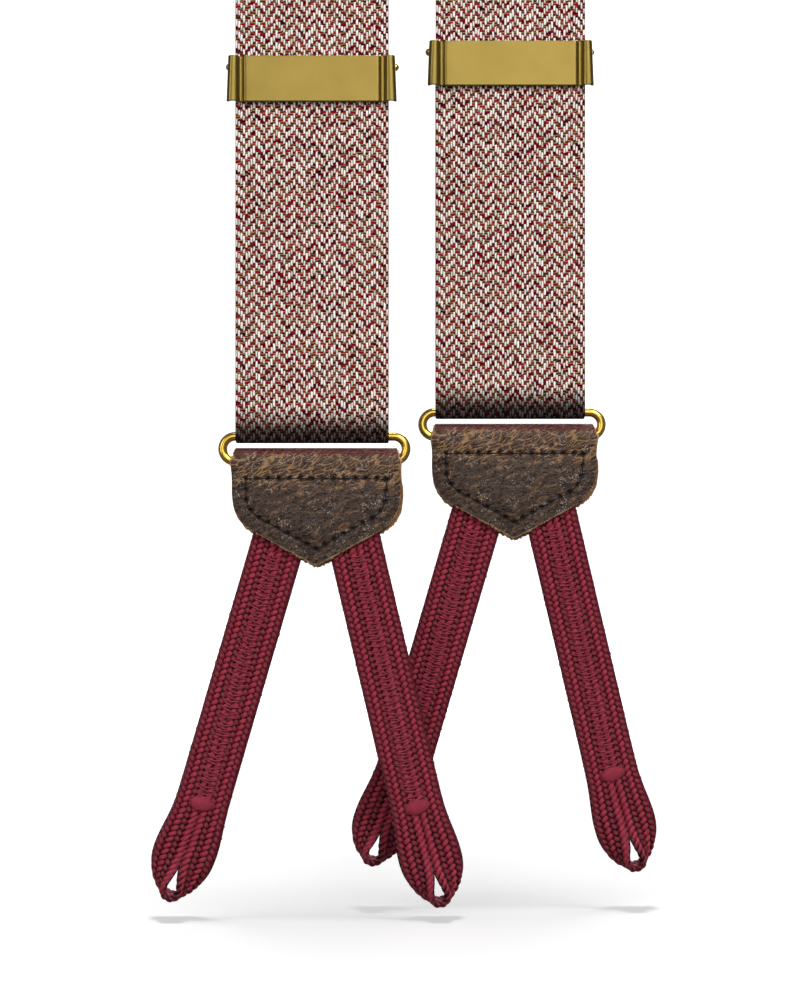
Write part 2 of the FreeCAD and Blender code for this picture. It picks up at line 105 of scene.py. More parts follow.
LEG_ROOT = (9.5, -26.6)
LEG_SPLAY = {-1: math.radians(16.3), 1: math.radians(13.3)}
LOOP_LEAN = {-1: 1.2, 1: 0.5}   # how far outwards the foot of each loop curls
TAPE_HALF = 3.3
STRANDS = 9
PLAIT_RISE = 1.55               # from one strand to the next along the tape

ENDS = {"left": 1, "right": 1, "rear": -1}      # name, and which way it faces
LEGS = {"left": ("outer", "inner"), "right": ("inner", "outer"), "rear": ("left", "right")}

joint_places = {joint["name"]: joint.get("pos_m") for joint in frame["joints"]}


def to_world(end, points, shift=0.0):
    """Points in an end's local coordinates, moved by shift in x, as points in metres."""
    origin = np.array(joint_places[f"{end}_ring_swing"])
    turn = np.array([ENDS[end], ENDS[end], 1.0])
    return origin + (np.asarray(points, float) + np.array([shift, 0, 0])) * turn * MM


def smooth(value, low, high):
    """0 below low, 1 above high, and a smooth step between."""
    t = np.clip((value - low) / (high - low), 0, 1)
    return t * t * (3 - 2 * t)


def unit(vectors):
    return vectors / np.maximum(np.linalg.norm(vectors, axis=-1, keepdims=True), 1e-9)


# ---------------------------------------------------------------- mesh tools

def mesh_object(name, points, quads, uv, materials, kinds=None):
    """A smooth-shaded mesh from arrays of points (m), four-cornered faces, and map coordinates (mm)."""
    corners = points[quads]
    volume = np.einsum("ij,ij->i", corners[:, 0], np.cross(corners[:, 1], corners[:, 2])).sum()
    if volume < 0:
        quads = quads[:, ::-1]
    mesh = bpy.data.meshes.new(name)
    mesh.vertices.add(len(points))
    mesh.vertices.foreach_set("co", points.astype(np.float32).ravel())
    mesh.loops.add(quads.size)
    mesh.loops.foreach_set("vertex_index", quads.astype(np.int32).ravel())
    mesh.polygons.add(len(quads))
    mesh.polygons.foreach_set("loop_start", np.arange(0, quads.size, 4, dtype=np.int32))
    mesh.polygons.foreach_set("loop_total", np.full(len(quads), 4, dtype=np.int32))
    mesh.polygons.foreach_set("use_smooth", np.ones(len(quads), dtype=bool))
    if kinds is not None:
        mesh.polygons.foreach_set("material_index", kinds.astype(np.int32))
    layer = mesh.uv_layers.new(name="flat")
    layer.data.foreach_set("uv", uv[quads.ravel()].astype(np.float32).ravel())
    mesh.update(calc_edges=True)
    mesh.validate()
    for material in materials:
        mesh.materials.append(material)
    made = bpy.data.objects.new(name, mesh)
    bpy.context.scene.collection.objects.link(made)
    return made


def second_map(piece, name, values):
    """Another pair of numbers for each point of a mesh, for its material."""
    layer = piece.data.uv_layers.new(name=name)
    corners = np.empty(len(piece.data.loops), dtype=np.int32)
    piece.data.loops.foreach_get("vertex_index", corners)
    layer.data.foreach_set("uv", values[corners].astype(np.float32).ravel())
    piece.data.uv_layers.active_index = 0


def wrapped_faces(rows, count):
    """Faces between rows of points, where each row has count points and closes on itself."""
    row, column = np.meshgrid(np.arange(rows - 1), np.arange(count), indexing="ij")
    after = (column + 1) % count
    return np.stack([row * count + column, row * count + after,
                     (row + 1) * count + after, (row + 1) * count + column], -1).reshape(-1, 4)


def sweep_arrays(centres, across, normals, profile, lengths):
    """Points, faces and map coordinates of a closed profile carried along a line.

    The profile's second half mirrors its first, so that its ends close with four-cornered faces."""
    rows, count = len(centres), len(profile)
    points = (centres[:, None] + across[:, None] * profile[None, :, :1]
              + normals[:, None] * profile[None, :, 1:])
    uv = np.stack(np.broadcast_arrays(profile[None, :, 0], lengths[:, None]), -1)
    k = np.arange(count // 2 - 1)
    start = np.stack([count - 1 - k, count - 2 - k, k + 1, k], -1)
    end = start[:, ::-1] + (rows - 1) * count
    return points.reshape(-1, 3), np.concatenate([wrapped_faces(rows, count), start, end]), uv.reshape(-1, 2)


def joined(parts):
    """Several (points, faces, map coordinates) as one."""
    shift, points, quads, uvs = 0, [], [], []
    for part_points, part_quads, part_uv in parts:
        points.append(part_points)
        quads.append(part_quads + shift)
        uvs.append(part_uv)
        shift += len(part_points)
    return np.concatenate(points), np.concatenate(quads), np.concatenate(uvs)


def strip_profile(width, thick, columns=24):
    """The cross-section of a flat strap with rounded edges."""
    half, edge = width / 2, thick / 2
    flat = np.linspace(-half + edge, half - edge, columns)
    top = [(-half, 0.25 * edge), (-half + 0.35 * edge, 0.8 * edge)]
    top += [(x, edge) for x in flat]
    top += [(half - 0.35 * edge, 0.8 * edge), (half, 0.25 * edge)]
    return np.array(top + [(x, -h) for x, h in reversed(top)])


def oval_profile(width, height, count=8):
    """The cross-section of a strand or thread, as a closed oval."""
    angles = math.pi - (np.arange(count) + 0.5) * 2 * math.pi / count
    return np.stack([np.cos(angles) * width / 2, np.sin(angles) * height / 2], -1)


def arc(centre, radius, start, end, count):
    """Points (y, z) on an arc, by angles in degrees from the plus y direction."""
    angles = np.radians(np.linspace(start, end, count))
    return [(centre[0] + radius * math.cos(a), centre[1] + radius * math.sin(a)) for a in angles]


def run(first, last, step=4.0):
    """Points on a straight run between two (y, z) points, without its last point."""
    first, last = np.array(first), np.array(last)
    count = max(2, int(np.linalg.norm(last - first) / step))
    return [tuple(first + (last - first) * i / count) for i in range(count)]


def lengths_along(points):
    steps = np.linalg.norm(np.diff(points, axis=0), axis=1)
    return np.concatenate([[0], np.cumsum(steps)])


def strap(name, route, material, slant=None, zero=0.0, width=STRAP_WIDTH, thick=STRAP_THICK):
    """Flat webbing along a route of points (x, y, z) in metres. slant is its width's lean there.

    zero is the length along the route (mm) from which the map measures, upwards."""
    route = np.array(route, float) / MM
    slant = np.zeros(len(route)) if slant is None else slant
    tangents = unit(np.gradient(route, axis=0))
    across = np.stack([np.cos(slant), np.zeros(len(route)), np.sin(slant)], -1)
    normals = unit(np.cross(tangents, across))
    across = unit(np.cross(normals, tangents))
    lengths = zero - lengths_along(route)
    points, quads, uv = sweep_arrays(route, across, normals, strip_profile(width, thick), lengths)
    uv = uv + np.array([width / 2, 0])
    return mesh_object(name, points * MM, quads, uv, [material])


def tubes(runs, facing, width, height):
    """Arrays of one tube for each run of points. facing is the side that they are seen from."""
    parts = []
    for line in runs:
        line = np.array(line, float)
        tangents = unit(np.gradient(line, axis=0))
        across = unit(np.cross(tangents, facing))
        normals = np.cross(across, tangents)
        parts.append(sweep_arrays(line, across, normals, oval_profile(width, height, 6),
                                  lengths_along(line)))
    return joined(parts)


def slab(name, surface, thick, uv, materials, bulge, needle=None, fray=1.0):
    """A closed sheet behind a grid of surface points, with rounded edges that fray roughens.

    needle is how much of a needle hole is at each point, from 0 to 1."""
    rows, cols = surface.shape[:2]
    normals = unit(np.cross(np.gradient(surface, axis=0), np.gradient(surface, axis=1)))
    inner = surface - normals * thick
    index = np.arange(rows * cols).reshape(rows, cols)
    face = np.stack([index[:-1, :-1], index[:-1, 1:], index[1:, 1:], index[1:, :-1]],
                    -1).reshape(-1, 4)
    rim = np.concatenate([index[0, :-1], index[:-1, -1], index[-1, :0:-1], index[:0:-1, 0]])
    inside = np.concatenate([index[1, :-1], index[:-1, -2], index[-2, :0:-1], index[:0:-1, 1]])
    outer_flat, inner_flat = surface.reshape(-1, 3), inner.reshape(-1, 3)
    outward = unit(outer_flat[rim] - outer_flat[inside])
    rough = np.random.default_rng(len(rim)).uniform(-0.2, 1.0, (len(rim), 1)) * fray
    middle = (outer_flat[rim] + inner_flat[rim]) / 2 + outward * bulge * (0.6 + rough)
    size = rows * cols
    middles = 2 * size + np.arange(len(rim))
    after = np.roll(np.arange(len(rim)), -1)
    wall_out = np.stack([rim[after], rim, middles, middles[after]], -1)
    wall_in = np.stack([middles[after], middles, rim + size, rim[after] + size], -1)
    points = np.concatenate([outer_flat, inner_flat, middle])
    flat_uv = uv.reshape(-1, 2)
    uvs = np.concatenate([flat_uv, flat_uv, flat_uv[rim]])
    quads = np.concatenate([face, face[:, ::-1] + size, wall_out, wall_in])
    kinds = np.concatenate([np.zeros(len(face)), np.full(len(face), 1), np.full(2 * len(rim), 2)])
    made = mesh_object(name, points, quads, uvs, materials, kinds)
    if needle is not None:
        holes = np.concatenate([needle.ravel(), needle.ravel(), needle.ravel()[rim]])
        second_map(made, "needle", np.stack([holes, holes], -1))
    return made


# ---------------------------------------------------------------- material tools

def colour(code):
    """A web colour such as #4a3a33, as the linear colour that shaders take."""
    parts = [int(code[i:i + 2], 16) / 255 for i in (1, 3, 5)]
    return tuple(p / 12.92 if p <= 0.04045 else ((p + 0.055) / 1.055) ** 2.4 for p in parts) + (1,)


def add_node(tree, kind, inputs, **settings):
    """A new shader node. inputs gives its sockets numbers, other sockets or constants."""
    node = tree.nodes.new("ShaderNode" + kind)
    for name, value in settings.items():
        setattr(node, name, value)
    for key, value in inputs.items():
        if isinstance(value, Number):
            value = value.socket
        if isinstance(value, bpy.types.NodeSocket):
            tree.links.new(value, node.inputs[key])
        else:
            node.inputs[key].default_value = value
    return node


class Number:
    """A number that a material works out at each point, with plain arithmetic."""

    def __init__(self, tree, socket):
        self.tree, self.socket = tree, socket

    def _math(self, operation, *values):
        node = add_node(self.tree, "Math", dict(enumerate(values)), operation=operation)
        return Number(self.tree, node.outputs[0])

    def __add__(self, other):
        return self._math("ADD", self, other)

    def __sub__(self, other):
        return self._math("SUBTRACT", self, other)

    def __rsub__(self, other):
        return self._math("SUBTRACT", other, self)

    def __mul__(self, other):
        return self._math("MULTIPLY", self, other)

    def __truediv__(self, other):
        return self._math("DIVIDE", self, other)

    __radd__, __rmul__ = __add__, __mul__

    def floor(self):
        return self._math("FLOOR", self)

    def fraction(self):
        return self._math("FRACT", self)

    def wrapped(self, size):
        return self._math("FLOORED_MODULO", self, size)

    def size(self):
        return self._math("ABSOLUTE", self)

    def over(self, limit):
        return self._math("GREATER_THAN", self, limit)

    def most(self, other):
        return self._math("MAXIMUM", self, other)

    def power(self, exponent):
        return self._math("POWER", self, exponent)

    def step(self, low, high):
        """A smooth step from 0 at low to 1 at high."""
        first, last = 0, 1
        if low > high:
            low, high, first, last = high, low, 1, 0
        node = add_node(self.tree, "MapRange",
                        {"Value": self, "From Min": low, "From Max": high,
                         "To Min": first, "To Max": last}, interpolation_type="SMOOTHSTEP")
        return Number(self.tree, node.outputs["Result"])


class Finish:
    """A material under construction: one shader, and coordinates in millimetres."""

    def __init__(self, name, **constants):
        self.material = bpy.data.materials.new(name)
        self.material.use_nodes = True
        self.tree = self.material.node_tree
        self.shader = self.tree.nodes["Principled BSDF"]
        for socket, value in constants.items():
            self.shader.inputs[socket.replace("_", " ")].default_value = value

    def split(self, socket, count=2):
        node = add_node(self.tree, "SeparateXYZ", {0: socket})
        return [Number(self.tree, node.outputs[i]) for i in range(count)]

    def flat(self, layer="flat"):
        """Map coordinates in millimetres: across, and along."""
        return self.split(add_node(self.tree, "UVMap", {}, uv_map=layer).outputs[0])

    def place(self):
        """The object's own coordinates in millimetres, for CAD parts with no map."""
        node = add_node(self.tree, "TexCoord", {})
        return [number * 1000 for number in self.split(node.outputs["Object"], 3)]

    def vector(self, *numbers):
        return add_node(self.tree, "CombineXYZ", dict(enumerate(numbers))).outputs[0]

    def noise(self, vector, scale=1.0, detail=2.0, rough=0.5):
        """Cloudy noise, about 0 to 1. scale is how many features fit in a millimetre."""
        node = add_node(self.tree, "TexNoise",
                        {"Vector": vector, "Scale": scale, "Detail": detail, "Roughness": rough})
        return Number(self.tree, node.outputs["Fac"])

    def cells(self, vector, scale=1.0, feature="F1"):
        """Distance to the nearest cell's middle (F1), or to the line between two cells."""
        node = add_node(self.tree, "TexVoronoi", {"Vector": vector, "Scale": scale},
                        feature=feature)
        return Number(self.tree, node.outputs["Distance"])

    def scatter(self, *numbers):
        """A steady random number from 0 to 1 for each set of whole numbers."""
        node = add_node(self.tree, "TexWhiteNoise", {"Vector": self.vector(*numbers)})
        return Number(self.tree, node.outputs["Value"])

    def mix(self, factor, first, second):
        """first where factor is 0, second where it is 1. Each is a colour or a mix."""
        inputs = {0: factor, 6: first, 7: second}
        return add_node(self.tree, "Mix", inputs, data_type="RGBA").outputs[2]

    def shade(self, source, number):
        """source made lighter or darker by number."""
        inputs = {0: source, "Scale": number}
        return add_node(self.tree, "VectorMath", inputs, operation="SCALE").outputs[0]

    def set(self, colours=None, roughness=None, height=None, relief=0.1):
        """Links what varies. height is 0 to 1, and relief is its size in millimetres."""
        if colours is not None:
            self.tree.links.new(colours, self.shader.inputs["Base Color"])
        if roughness is not None:
            self.tree.links.new(roughness.socket, self.shader.inputs["Roughness"])
        if height is not None:
            bump = add_node(self.tree, "Bump",
                            {"Strength": 1.0, "Distance": relief * MM, "Height": height})
            self.tree.links.new(bump.outputs[0], self.shader.inputs["Normal"])
        return self.material


# ---------------------------------------------------------------- materials

WARP = 0.619                    # width of one warp thread
PICK = 0.68                     # height of one weft thread
CHEVRON = 8                     # warp threads in one up-and-down of the herringbone


def herringbone():
    """White warp over burgundy and gold weft, with near-black painted shade in the gaps between the weft
    threads. Shade where it turns round the ring is painted into its colour.
    """
    finish = Finish("herringbone", Roughness=0.85, Specular_IOR_Level=0.05)
    u, v = finish.flat()
    drift = finish.noise(finish.vector(u, v, 0.0), 0.4, 2.0) - 0.5
    wander = finish.noise(finish.vector(u * 1.6, v, 7.0), 0.45, 2.0) - 0.5
    u_woven = u + drift * 0.45
    warp = (u_woven / WARP).floor()
    in_warp = (u_woven / WARP).fraction() - 0.5
    slip = finish.scatter(warp, 0.0, 5.0) - 0.5
    v_woven = v + wander * 1.5 + slip * 0.35
    turn = warp.wrapped(CHEVRON)
    rising = turn.over(3.5)
    shift = turn * (1 - rising) + (5 - turn) * rising
    floats = v_woven / (4 * PICK) + shift * 0.25
    fibre = finish.scatter(warp, floats.floor(), 1.0)
    lifted = floats.fraction() - 0.5
    across = in_warp.size() * WARP / (0.19 + fibre * 0.07)
    along = lifted.size() * (4 * PICK) / (0.56 + fibre * 0.22)
    bar = across.step(1.12, 0.8) * along.step(1.12, 0.88)
    bar_height = (1 - across * across) * 0.5 + (1 - along * along * along) * 0.5

    v_pick = v + wander * 1.1
    in_pick = (v_pick / PICK).fraction()
    pick = (v_pick / PICK).floor()
    red_band = (in_pick - 0.36).size().step(0.34, 0.2)
    gold_band = (in_pick - 0.84).size().step(0.15, 0.07)
    gold_shows = finish.scatter((u / 3.1).floor(), pick, 6.0).step(0.1, 0.5)

    fuzz = finish.noise(finish.vector(u * 3, v * 0.8, 3.0), 2.0, 2.0)
    white = finish.mix(fibre * 0.5 + fuzz * 0.5, colour("#bdb4ac"), colour("#fbf8f4"))
    red = finish.mix(finish.scatter((u_woven / (2 * WARP)).floor(), pick, 2.0).power(0.6),
                     colour("#2a0105"), colour("#8c0618"))
    gold = finish.mix(fuzz, colour("#8a6a30"), colour("#e8cf92"))
    # Near-black painted shade in the gaps between the weft threads, where the weft's height is low.
    weft = finish.mix(red_band, colour("#060000"), red)
    weft = finish.mix(gold_band * gold_shows * 0.65, weft, gold)
    cloth = finish.mix(bar, weft, white)
    # Painted shade: the webbing darkens towards the ring, where it turns round it.
    cloth = finish.shade(cloth, 1 - v.size().step(8.0, 0.5) * 0.93)
    height = bar * bar_height.most(0.0) + (1 - bar) * red_band * 0.35
    return finish.set(cloth, height=height, relief=0.16)


def elastic_cloth():
    """Fine burgundy ribs that run along the rear elastic, with dark painted shade in the grooves between the
    ribs and stitches.
    """
    finish = Finish("elastic", Roughness=0.7, Sheen_Weight=0.2, Specular_IOR_Level=0.3)
    u, v = finish.flat()
    wander = finish.noise(finish.vector(u, v, 0.0), 0.4, 1.0) - 0.5
    rib = ((u + wander * 0.2) / 0.9).fraction() - 0.5
    stitch = ((v + wander * 0.3) / 0.7 + ((u / 0.9).floor()).wrapped(2) * 0.5).fraction() - 0.5
    height = (1 - rib * rib * 4) * (1 - stitch * stitch * 2.4)
    tone = finish.noise(finish.vector(u * 2, v * 2, 1.0), 1.0, 3.0)
    # Painted shade: the colour follows the height, dark in the grooves between ribs and stitches.
    cloth = finish.mix(height, colour("#1d0509"), colour("#6a1a28"))
    cloth = finish.shade(cloth, tone * 0.7 + 0.65)
    return finish.set(cloth, height=height, relief=0.22)


def pebbled_leather(name, folded):
    """Dark brown pebbled hide with worn tan creases, near-black painted shade in the grain's hollows and
    needle holes, and pale painted glints. folded hide is burgundy along its fold.
    """
    finish = Finish(name, Specular_IOR_Level=0.22, Coat_Weight=0.03, Coat_Roughness=0.25)
    u, v = finish.flat()
    needle, _ = finish.flat("needle")
    flow = finish.noise(finish.vector(u, v, 0.0), 0.22, 3.0) - 0.5
    along = u * 0.86 - v * 0.5 + flow * 3.0
    cross = u * 0.5 + v * 0.86 + flow * 3.0
    pebbles = finish.cells(finish.vector(along * 0.3, cross * 1.2, 0.0), 1.0,
                           "DISTANCE_TO_EDGE")
    grain = finish.cells(finish.vector(along * 1.0, cross * 1.5, 2.0), 1.0)
    pores = finish.noise(finish.vector(u, v, 5.0), 2.6, 4.0, 0.75)
    crease = pebbles.step(0.12, 0.0)
    shaded_hollow = grain.step(0.52, 0.2)
    rubbed = finish.noise(finish.vector(along * 0.3, cross * 0.7, 9.0), 1.0, 4.0, 0.65)
    upper = v.size().step(15.0, 8.0) if folded else rubbed.step(0.5, 0.7)
    worn = (rubbed + upper * 0.12).step(0.46, 0.62)
    hide = finish.mix(pores.step(0.35, 0.68), colour("#1c1210"), colour("#4e3e36"))
    hide = finish.mix(worn * 0.35, hide, colour("#5e4436"))
    # Near-black painted shade in the hollows of the grain.
    hide = finish.mix(shaded_hollow * (1 - worn * 0.4) * 0.9, hide, colour("#0a0606"))
    hide = finish.mix(crease * worn * (0.35 + upper * 0.38), hide, colour("#a88258"))
    hide = finish.mix(crease * (1 - worn) * 0.5, hide, colour("#4a3628"))
    # Pale painted glints: scattered speckles of painted highlight.
    painted_glint = finish.scatter((u / 0.25).floor(), (v / 0.25).floor(), 4.0)
    bright = finish.noise(finish.vector(u, v, 12.0), 0.3, 2.0).step(0.45, 0.65)
    hide = finish.mix(painted_glint.over(0.9) * bright * 0.5, hide, colour("#b4aeaa"))
    if folded:
        ragged = finish.noise(finish.vector(u * 0.5, v * 0.5, 3.0), 1.0, 3.0)
        fold = (v.size() + ragged * 4.0).step(6.6, 4.6)
        hide = finish.mix(fold * (1 - crease * 0.3) * 0.92, hide, colour("#45060f"))
    # Painted shade: the needle holes are near-black inside.
    hide = finish.mix(needle, hide, colour("#020101"))
    height = pebbles.step(0.0, 0.2) * 0.4 + (1 - shaded_hollow) * 0.4 + pores * 0.3
    roughness = 0.6 - pebbles.step(0.0, 0.3) * 0.22 + pores * 0.1
    return finish.set(hide, roughness, height, 0.25)


def raw_edge():
    """The fibrous cut edge of the hide."""
    finish = Finish("cut_edge", Roughness=0.9, Specular_IOR_Level=0.15)
    u, v = finish.flat()
    fluff = finish.noise(finish.vector(u, v, 0.0), 2.6, 4.0, 0.7)
    hide = finish.mix(fluff.step(0.35, 0.65), colour("#8a6844"), colour("#d8b48a"))
    return finish.set(hide, height=fluff, relief=0.25)


def suede():
    """The rough inner side of the hide."""
    finish = Finish("suede", Roughness=0.95, Specular_IOR_Level=0.1, Sheen_Weight=0.2)
    u, v = finish.flat()
    nap = finish.noise(finish.vector(u, v, 0.0), 1.6, 5.0, 0.7)
    hide = finish.mix(nap.step(0.3, 0.7), colour("#5e3d25"), colour("#94683f"))
    return finish.set(hide, height=nap, relief=0.2)


def filaments(finish, ply):
    """Fine filaments that lean along a strand, as a height, and the strand's uneven tone."""
    u, v = finish.flat()
    filament = ((u + v * 0.22) / ply).fraction() - 0.5
    tone = finish.noise(finish.vector(u * 1.5, v * 0.6, 0.0), 1.0, 3.0, 0.6)
    return 1 - filament * filament * 4, tone


def yarn(name, dark, light, roughness=0.6, ply=0.19):
    """Twisted thread: fine filaments that lean along each strand, with painted shade between the filaments
    and an uneven tone.
    """
    finish = Finish(name, Roughness=roughness, Sheen_Weight=0.05, Sheen_Roughness=0.4,
                    Specular_IOR_Level=0.2)
    height, tone = filaments(finish, ply)
    # Painted shade: lighter on each filament's crest, darker between them, with the uneven tone.
    filament_shade_and_tone = height * 0.6 + tone * 0.7 - 0.12
    thread = finish.mix(filament_shade_and_tone, colour(dark), colour(light))
    return finish.set(thread, height=height, relief=0.05)


def braid_yarn():
    """Crimson strands, with a painted highlight on top of each float and near-black painted shade where they
    dive under, along their sides and on strands that lean one way. The filaments' crests are painted
    lighter.
    """
    finish = Finish("braid_yarn", Roughness=0.5, Specular_IOR_Level=0.2)
    u, _ = finish.flat()
    rise, leaning = finish.flat("rise")
    height, tone = filaments(finish, 0.19)
    # Painted light: highlights on the floats, shade where strands dive under, along their sides and on one
    # leaning direction.
    painted_light = (rise - leaning * 0.4).step(0.0, 0.9) * (u.size().step(0.68, 0.35) * 0.6 + 0.4)
    thread = finish.mix(height * 0.4 + tone * 0.7 - 0.1, colour("#600a1c"), colour("#b43c50"))
    thread = finish.mix(painted_light, colour("#1c0207"), thread)
    return finish.set(thread, height=height, relief=0.05)


def brass(name, dark, light, roughness, grime=None):
    """Polished brass, or satin brass with fine brush lines where a colour for grime is given."""
    finish = Finish(name, Metallic=1.0)
    x, y, z = finish.place()
    cloud = finish.noise(finish.vector(x, y, z), 0.12, 3.0)
    dirt = finish.noise(finish.vector(x, y, z), 0.5, 5.0, 0.7)
    metal = finish.mix(cloud.step(0.3, 0.7), colour(dark), colour(light))
    if grime is None:
        return finish.set(metal, dirt * 0.04 + (roughness - 0.02))
    metal = finish.mix(dirt.step(0.6, 0.8) * 0.2, metal, colour(grime))
    lines = finish.noise(finish.vector(x * 0.5, y * 2, z * 6), 1.0, 3.0, 0.6)
    return finish.set(metal, dirt * 0.04 + lines * 0.08 + (roughness - 0.06), lines, 0.004)


WEBBING = herringbone()
ELASTIC = elastic_cloth()
EDGE = raw_edge()
SUEDE = suede()
TAB_HIDE = pebbled_leather("tab_hide", True)
PATCH_HIDE = pebbled_leather("patch_hide", False)
BRAID = braid_yarn()
SEAM_THREAD = yarn("seam_thread", "#5a0e20", "#a63e52", 0.55, 0.12)
TACK_THREAD = yarn("tack_thread", "#6e1428", "#a6344a", 0.6, 0.1)
TAB_THREAD = yarn("tab_thread", "#070404", "#1c1412", 0.7, 0.12)
WEB_THREAD = yarn("web_thread", "#2c0a10", "#6d2430", 0.6, 0.12)
FACE_BRASS = brass("satin_brass", "#766431", "#7b6935", 0.3, "#5a4a20")
WIRE_BRASS = brass("polished_brass", "#c29e42", "#ccaa50", 0.25)
PIN_BRASS = brass("pin_brass", "#b4963e", "#c2a64e", 0.25)


# ---------------------------------------------------------------- webbing

def fold_route():
    """The middle of the webbing round the ring's top bar: down in front, up behind."""
    return [(0, y, z * 0.82) for y, z in arc((0, 0), LAYER, 180, 360, 17)]


def front_strap(side):
    """One length of webbing: up from the Y patch, over the rail, down and round the ring."""
    x, _, top = to_world(side, (0, 0, 0)) / MM
    radius, centre = RAIL_BEND[side]
    inward = -math.copysign(1, x)
    behind = centre + radius
    back = []
    for drop in np.linspace(STRAP_DROP_BEHIND, 0, 48)[:-1]:
        back.append((x + inward * drop * math.tan(STRAP_SLANT), behind, -drop))
    bend = [(x, y, z) for y, z in arc((centre, 0), radius, 0, 180, 33)]
    front = [(x, centre - radius, z) for z in np.linspace(0, top, 140)[1:-1]]
    turn = [tuple(p) for p in to_world(side, fold_route()) / MM]
    rise = [tuple(p) for p in to_world(side, [(0, LAYER + 0.02 * z, z) for z in (3, 6, 9, 12)]) / MM]
    route = np.array(back + bend + front + turn + rise)
    leaning = STRAP_SLANT * -inward
    slant = np.concatenate([np.full(len(back), 1.0), 1 - smooth(np.arange(len(bend)), 0, 32),
                            np.zeros(len(front) + len(turn) + len(rise))]) * leaning
    to_ring = lengths_along(route)[len(back) + len(bend) + len(front)]
    piece = strap(f"{side}_webbing", route * MM, WEBBING, slant, to_ring)
    tilt = math.radians(80)
    direction = np.array([0, -math.sin(tilt), -math.cos(tilt)])
    settled = (centre - radius) * direction[1] + 300 * math.cos(tilt)
    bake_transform(piece, "webbing", f"{side}_strap_end_loop", direction * 20 * MM,
             direction * settled * MM)
    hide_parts(f"{side}_upper_strap", f"{side}_front_run", f"{side}_strap_fold")


def return_strap(side):
    """The webbing's return behind the front run, and its end sewn back round the tail bar."""
    bar_y, bar_z = TAIL_BAR
    up = run((RETURN_DEPTH + 0.04, REST_OF_FOLD), (bar_y + TAIL_RADIUS, bar_z), 2.0)
    turn = arc(TAIL_BAR, TAIL_RADIUS, 0, 180, 13)
    down = run((bar_y - TAIL_RADIUS, bar_z), (bar_y - TAIL_RADIUS, bar_z - TAIL_LENGTH), 1.0)[1:]
    route = [(0, y, z) for y, z in up + turn + down]
    piece = strap(f"{side}_return_webbing", to_world(side, route), WEBBING,
                  zero=-REST_OF_FOLD - 2.5)
    start = to_world(side, (0, 0, REST_OF_FOLD + 2))
    end = to_world(side, (0, 0, REST_OF_FOLD + 56))
    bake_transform(piece, f"{side}_strap_end_loop", f"{side}_adjuster", start, end)
    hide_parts(f"{side}_return_run", f"{side}_strap_end")


def end_stitching(side):
    """Two rows of stitches through the webbing's folded end, seen from behind."""
    bar_y, bar_z = TAIL_BAR
    out = TAIL_RADIUS + STRAP_THICK / 2
    points, quads, uv = stitch_rows((bar_z - 4.0, bar_z - 8.0),
                                    ((bar_y + out, 0.3), (bar_y - out, -0.3)))
    piece = mesh_object(f"{side}_end_stitches", to_world(side, points), quads, uv, [WEB_THREAD])
    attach(piece, f"{side}_adjuster")
    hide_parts(f"{side}_end_stitching")


def stitch_row(holes, depth, lift):
    """A run for each stitch between two holes. Its middle stands proud of the cloth at y = depth."""
    runs = []
    for first, last in zip(holes[:-1], holes[1:]):
        first, last = np.array(first, float), np.array(last, float)
        shape = [(0.06, -0.9), (0.16, 0.2), (0.35, 0.75), (0.65, 0.75), (0.84, 0.2), (0.94, -0.9)]
        line = [first + (last - first) * t for t, _ in shape]
        for point, (_, height) in zip(line, shape):
            point[1] = depth + lift * height
        runs.append(line)
    return runs


def stitch_rows(heights, faces):
    """Arrays of rows of stitches across a strap, at each height, on faces given as (y, lift)."""
    runs = []
    for height in heights:
        holes = [(x, 0, height) for x in np.arange(-17, 17.1, 2.4)]
        for depth, lift in faces:
            runs += stitch_row(holes, depth, lift)
    return tubes(runs, (0, 1, 0), 0.42, 0.34)


def rear_webbing():
    """The rear elastic: down from the patch, round the rear ring and sewn to itself."""
    top = ELASTIC_TOP + ELASTIC_HIDDEN - joint_places["rear_ring_swing"][2] / MM
    down = run((-LAYER, top), (-LAYER, 0), 4.0)
    turn = arc((0, 0), LAYER, 180, 360, 17)
    up = run((LAYER, 0), (LAYER - 0.6, ELASTIC_RETURN), 3.0)[1:] + [(LAYER - 0.6, ELASTIC_RETURN)]
    route = to_world("rear", [(0, y, z) for y, z in down + turn + up])
    piece = strap("rear_elastic_webbing", route, ELASTIC, zero=200.0)
    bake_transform(piece, "webbing", "rear_end_loop", (0, 0, -0.207), (0, 0, -0.250))
    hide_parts("rear_elastic", "rear_elastic_fold")
    points, quads, uv = stitch_rows((27.0, 30.0), ((-LAYER - STRAP_THICK / 2, -0.3),
                                                   (LAYER - 0.5 + STRAP_THICK / 2, 0.3)))
    rows = mesh_object("rear_fold_stitches", to_world("rear", points), quads, uv, [WEB_THREAD])
    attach(rows, "rear_end_loop")
    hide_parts("rear_fold_stitching")


# ---------------------------------------------------------------- metal

FACE_RISE = 82.2                # from the ring's top bar to the lower edge of the adjuster's face
FACE_HEIGHT = 11.1
FACE_SHEET = 0.7
ROLL = (19.2, -3.05, 1.3)       # x and y of the middle of a rolled end, and its radius
CHEEK_BACK = 2.9
BAR_PITCH = 6.2
RING_BEND = 19.6                # x of the middle of the ring's round ends
WIRE = 2.2


def face_outline():
    """The outer side of the pressed face seen from above, as points (x, y) from left to right."""
    roll_x, roll_y, roll_radius = ROLL
    half = [(x, -3.6) for x in np.linspace(0, 15.9, 16)]
    half += [(16.3, -3.58), (16.55, -3.48), (16.75, -3.3), (16.95, -3.05), (17.2, -2.9),
             (17.5, -2.86), (17.75, -2.95), (17.9, -3.15)]
    half += [(roll_x - roll_radius * math.cos(a), roll_y - roll_radius * math.sin(a))
             for a in np.radians(np.linspace(18, 180, 16))]
    half += [(roll_x + roll_radius, y) for y in (-2.2, -1.2, 0.0, 1.2, 2.2, CHEEK_BACK)]
    return np.array([(-x, y) for x, y in reversed(half[1:])] + half)


